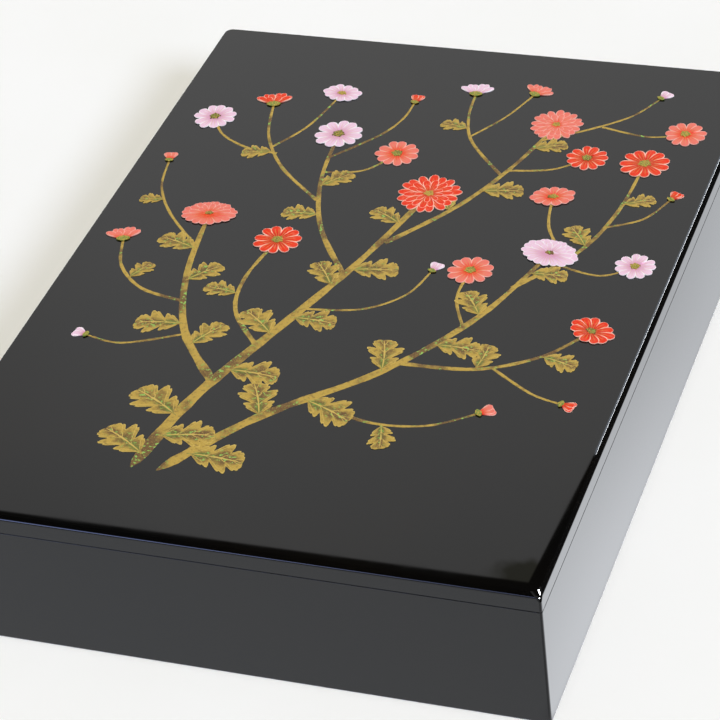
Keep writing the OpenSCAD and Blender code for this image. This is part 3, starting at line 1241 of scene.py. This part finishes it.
def studio_view(tree):
    """The painted reflection that polished faces mirror: pale screens all round, dark overhead, in front
    and back right.
    """
    way = add_node(tree, "ShaderNodeTexCoord").outputs["Generated"]
    right, back, up = split_axes(tree, way)
    height = reckon(tree, "DEGREES", reckon(tree, "ARCSINE", up))
    turn = reckon(tree, "DEGREES", reckon(tree, "ARCTAN2", right, back))
    by_height, by_turn = graded(tree, height, SCREEN_BY_HEIGHT), graded(tree, turn, SCREEN_BY_TURN)
    seen = mix_colours(tree, 1.0, by_height, by_turn, "MULTIPLY")
    behind = product(tree, ramp(tree, turn, *BEHIND_LEFT), fall(tree, turn, *BEHIND_RIGHT))
    rise = reckon(tree, "MAXIMUM", up, 0.01)
    rightward = reckon(tree, "DIVIDE", right, rise)
    backward = reckon(tree, "DIVIDE", back, rise)
    near_line = reckon(tree, "MULTIPLY_ADD", rightward, NEAR_SLANT, backward)
    right_line = reckon(tree, "MULTIPLY_ADD", backward, RIGHT_SLANT, rightward)
    # A painted reflection: a grey patch in the corner of the two edges, ragged at its rim
    corner = product(tree, ramp(tree, right_line, *REFLECTED_PATCH_RIGHT), fall(tree, backward, *REFLECTED_PATCH_NEAR))
    cloud = reckon(tree, "MULTIPLY_ADD", noise(tree, way, REFLECTED_PATCH_SCALE), REFLECTED_PATCH_RAGGED, corner)
    reflected_patch = product(tree, behind, ramp(tree, cloud, *REFLECTED_PATCH_CLOUD))
    seen = mix_colours(tree, reflected_patch, seen, REFLECTED_PATCH_GREY)
    past_right = ramp(tree, right_line, *RIGHT_EDGE)
    above_foot = ramp(tree, back, *PANE_FOOT)
    below_pane = reckon(tree, "MULTIPLY", past_right, reckon(tree, "SUBTRACT", 1.0, above_foot))
    dark = reckon(tree, "MAXIMUM", fall(tree, near_line, *NEAR_EDGE), below_pane)
    seen = mix_colours(tree, product(tree, behind, dark), seen, DARK)
    pane = product(
        tree, past_right, above_foot, ramp(tree, height, *PANE_HEIGHT), fall(tree, turn, *PANE_RIGHT)
    )
    seen = mix_colours(tree, pane, seen, PANE_LIGHT)
    band = product(
        tree, fall(tree, height, *BAND_HEIGHT), ramp(tree, turn, *BAND_LEFT), fall(tree, turn, *BAND_RIGHT)
    )
    return mix_colours(tree, band, seen, BRIGHT_BLUE)


def paint_world(stage):
    """Even light for the paint, a pale backdrop for the eye and a painted studio that only polished faces
    mirror.
    """
    world = bpy.data.worlds.new("studio")
    bpy.context.scene.world = world
    world.use_nodes = True
    tree = world.node_tree
    tree.nodes.clear()
    path = add_node(tree, "ShaderNodeLightPath")
    seen = reckon(tree, "MAXIMUM", path.outputs["Is Camera Ray"], path.outputs["Is Transmission Ray"])
    even = [stage.ambient * part for part in WARM]
    sky = mix_colours(tree, seen, (*even, 1), BACKDROP)
    # Only glossy rays see the painted reflection of the studio
    sky = mix_colours(tree, path.outputs["Is Glossy Ray"], sky, studio_view(tree))
    glow = add_node(tree, "ShaderNodeBackground", {"Color": sky, "Strength": 1.0})
    output = add_node(tree, "ShaderNodeOutputWorld")
    tree.links.new(glow.outputs[0], output.inputs["Surface"])


def hang_lamp(kind, name, place, way, colour):
    """Hangs a lamp that shines from a way, and returns it."""
    bpy.ops.object.light_add(type=kind, location=place)
    lamp = bpy.context.object
    lamp.name = name
    lamp.data.color = colour
    lamp.rotation_euler = way.to_track_quat("Z", "Y").to_euler()
    return lamp


def hang_lamps(stage):
    """A broad warm light overhead, a cool one from the right, and small lamps that glint in the lacquer."""
    select_only()
    for (name, spread, way, colour), energy in zip(SUNS, (stage.top, stage.key)):
        sun = hang_lamp("SUN", name, (0, 0, 2), Vector(way), colour)
        sun.data.energy = energy
        sun.data.angle = math.radians(spread)
        sun.visible_glossy = False
    for name, place, (long, tall), strength, spread, aim in SMALL_LAMPS:
        lamp = hang_lamp("AREA", name, Vector(place) * MM, Vector(place) - Vector(aim), LAMP_COLOUR)
        lamp.data.shape = "ELLIPSE" if long == tall else "RECTANGLE"
        lamp.data.size = long * MM
        lamp.data.size_y = tall * MM
        lamp.data.energy = strength * math.pi * long * tall * MM ** 2
        lamp.data.spread = math.radians(spread)
        lamp.visible_camera = False
        lamp.visible_diffuse = False


def set_camera(stage):
    """The photograph's viewpoint."""
    back = Vector((
        math.sin(stage.azimuth) * math.cos(stage.elevation),
        -math.cos(stage.azimuth) * math.cos(stage.elevation),
        math.sin(stage.elevation),
    ))
    select_only()
    bpy.ops.object.camera_add(location=Vector(stage.aim) + back * stage.distance)
    camera = bpy.context.object
    camera.rotation_mode = "QUATERNION"
    camera.rotation_quaternion = (-back).to_track_quat("-Z", "Y") @ Quaternion((0, 0, 1), stage.roll)
    camera.data.sensor_width = 36
    camera.data.lens = stage.lens
    camera.data.clip_start = 0.05
    bpy.context.scene.camera = camera


class BOX_OT_stage(Operator):
    """Set the floor, the studio light and the camera"""
    bl_idname = "document_box.stage"
    bl_label = "Stage"

    def execute(self, context):
        stage = context.scene.box_stage
        lay_floor(stage)
        paint_world(stage)
        hang_lamps(stage)
        set_camera(stage)
        context.scene.view_settings.view_transform = "Standard"
        return {"FINISHED"}


OPERATORS = (
    BOX_OT_walls, BOX_OT_lips, BOX_OT_inside, BOX_OT_lid_rails, BOX_OT_lid_board,
    BOX_OT_stems, BOX_OT_leaves, BOX_OT_flowers, BOX_OT_stage,
)


class BOX_PT_panel(Panel):
    """Lists the steps that make the document box"""
    bl_idname = "BOX_PT_document_box"
    bl_label = "Document Box"
    bl_space_type = "VIEW_3D"
    bl_region_type = "UI"
    bl_category = "Document Box"

    def draw(self, context):
        for step in OPERATORS:
            self.layout.operator(step.bl_idname)


def register():
    for group in SETTINGS.values():
        bpy.utils.register_class(group)
    for name, group in SETTINGS.items():
        setattr(bpy.types.Scene, name, PointerProperty(type=group))
    for made in (*OPERATORS, BOX_PT_panel):
        bpy.utils.register_class(made)


def unregister():
    for made in reversed((*OPERATORS, BOX_PT_panel)):
        bpy.utils.unregister_class(made)
    for name, group in SETTINGS.items():
        delattr(bpy.types.Scene, name)
        bpy.utils.unregister_class(group)


def main():
    register()
    for step in OPERATORS:
        group, action = step.bl_idname.split(".")
        getattr(getattr(bpy.ops, group), action)()
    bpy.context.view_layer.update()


if __name__ == "__main__":
    main()
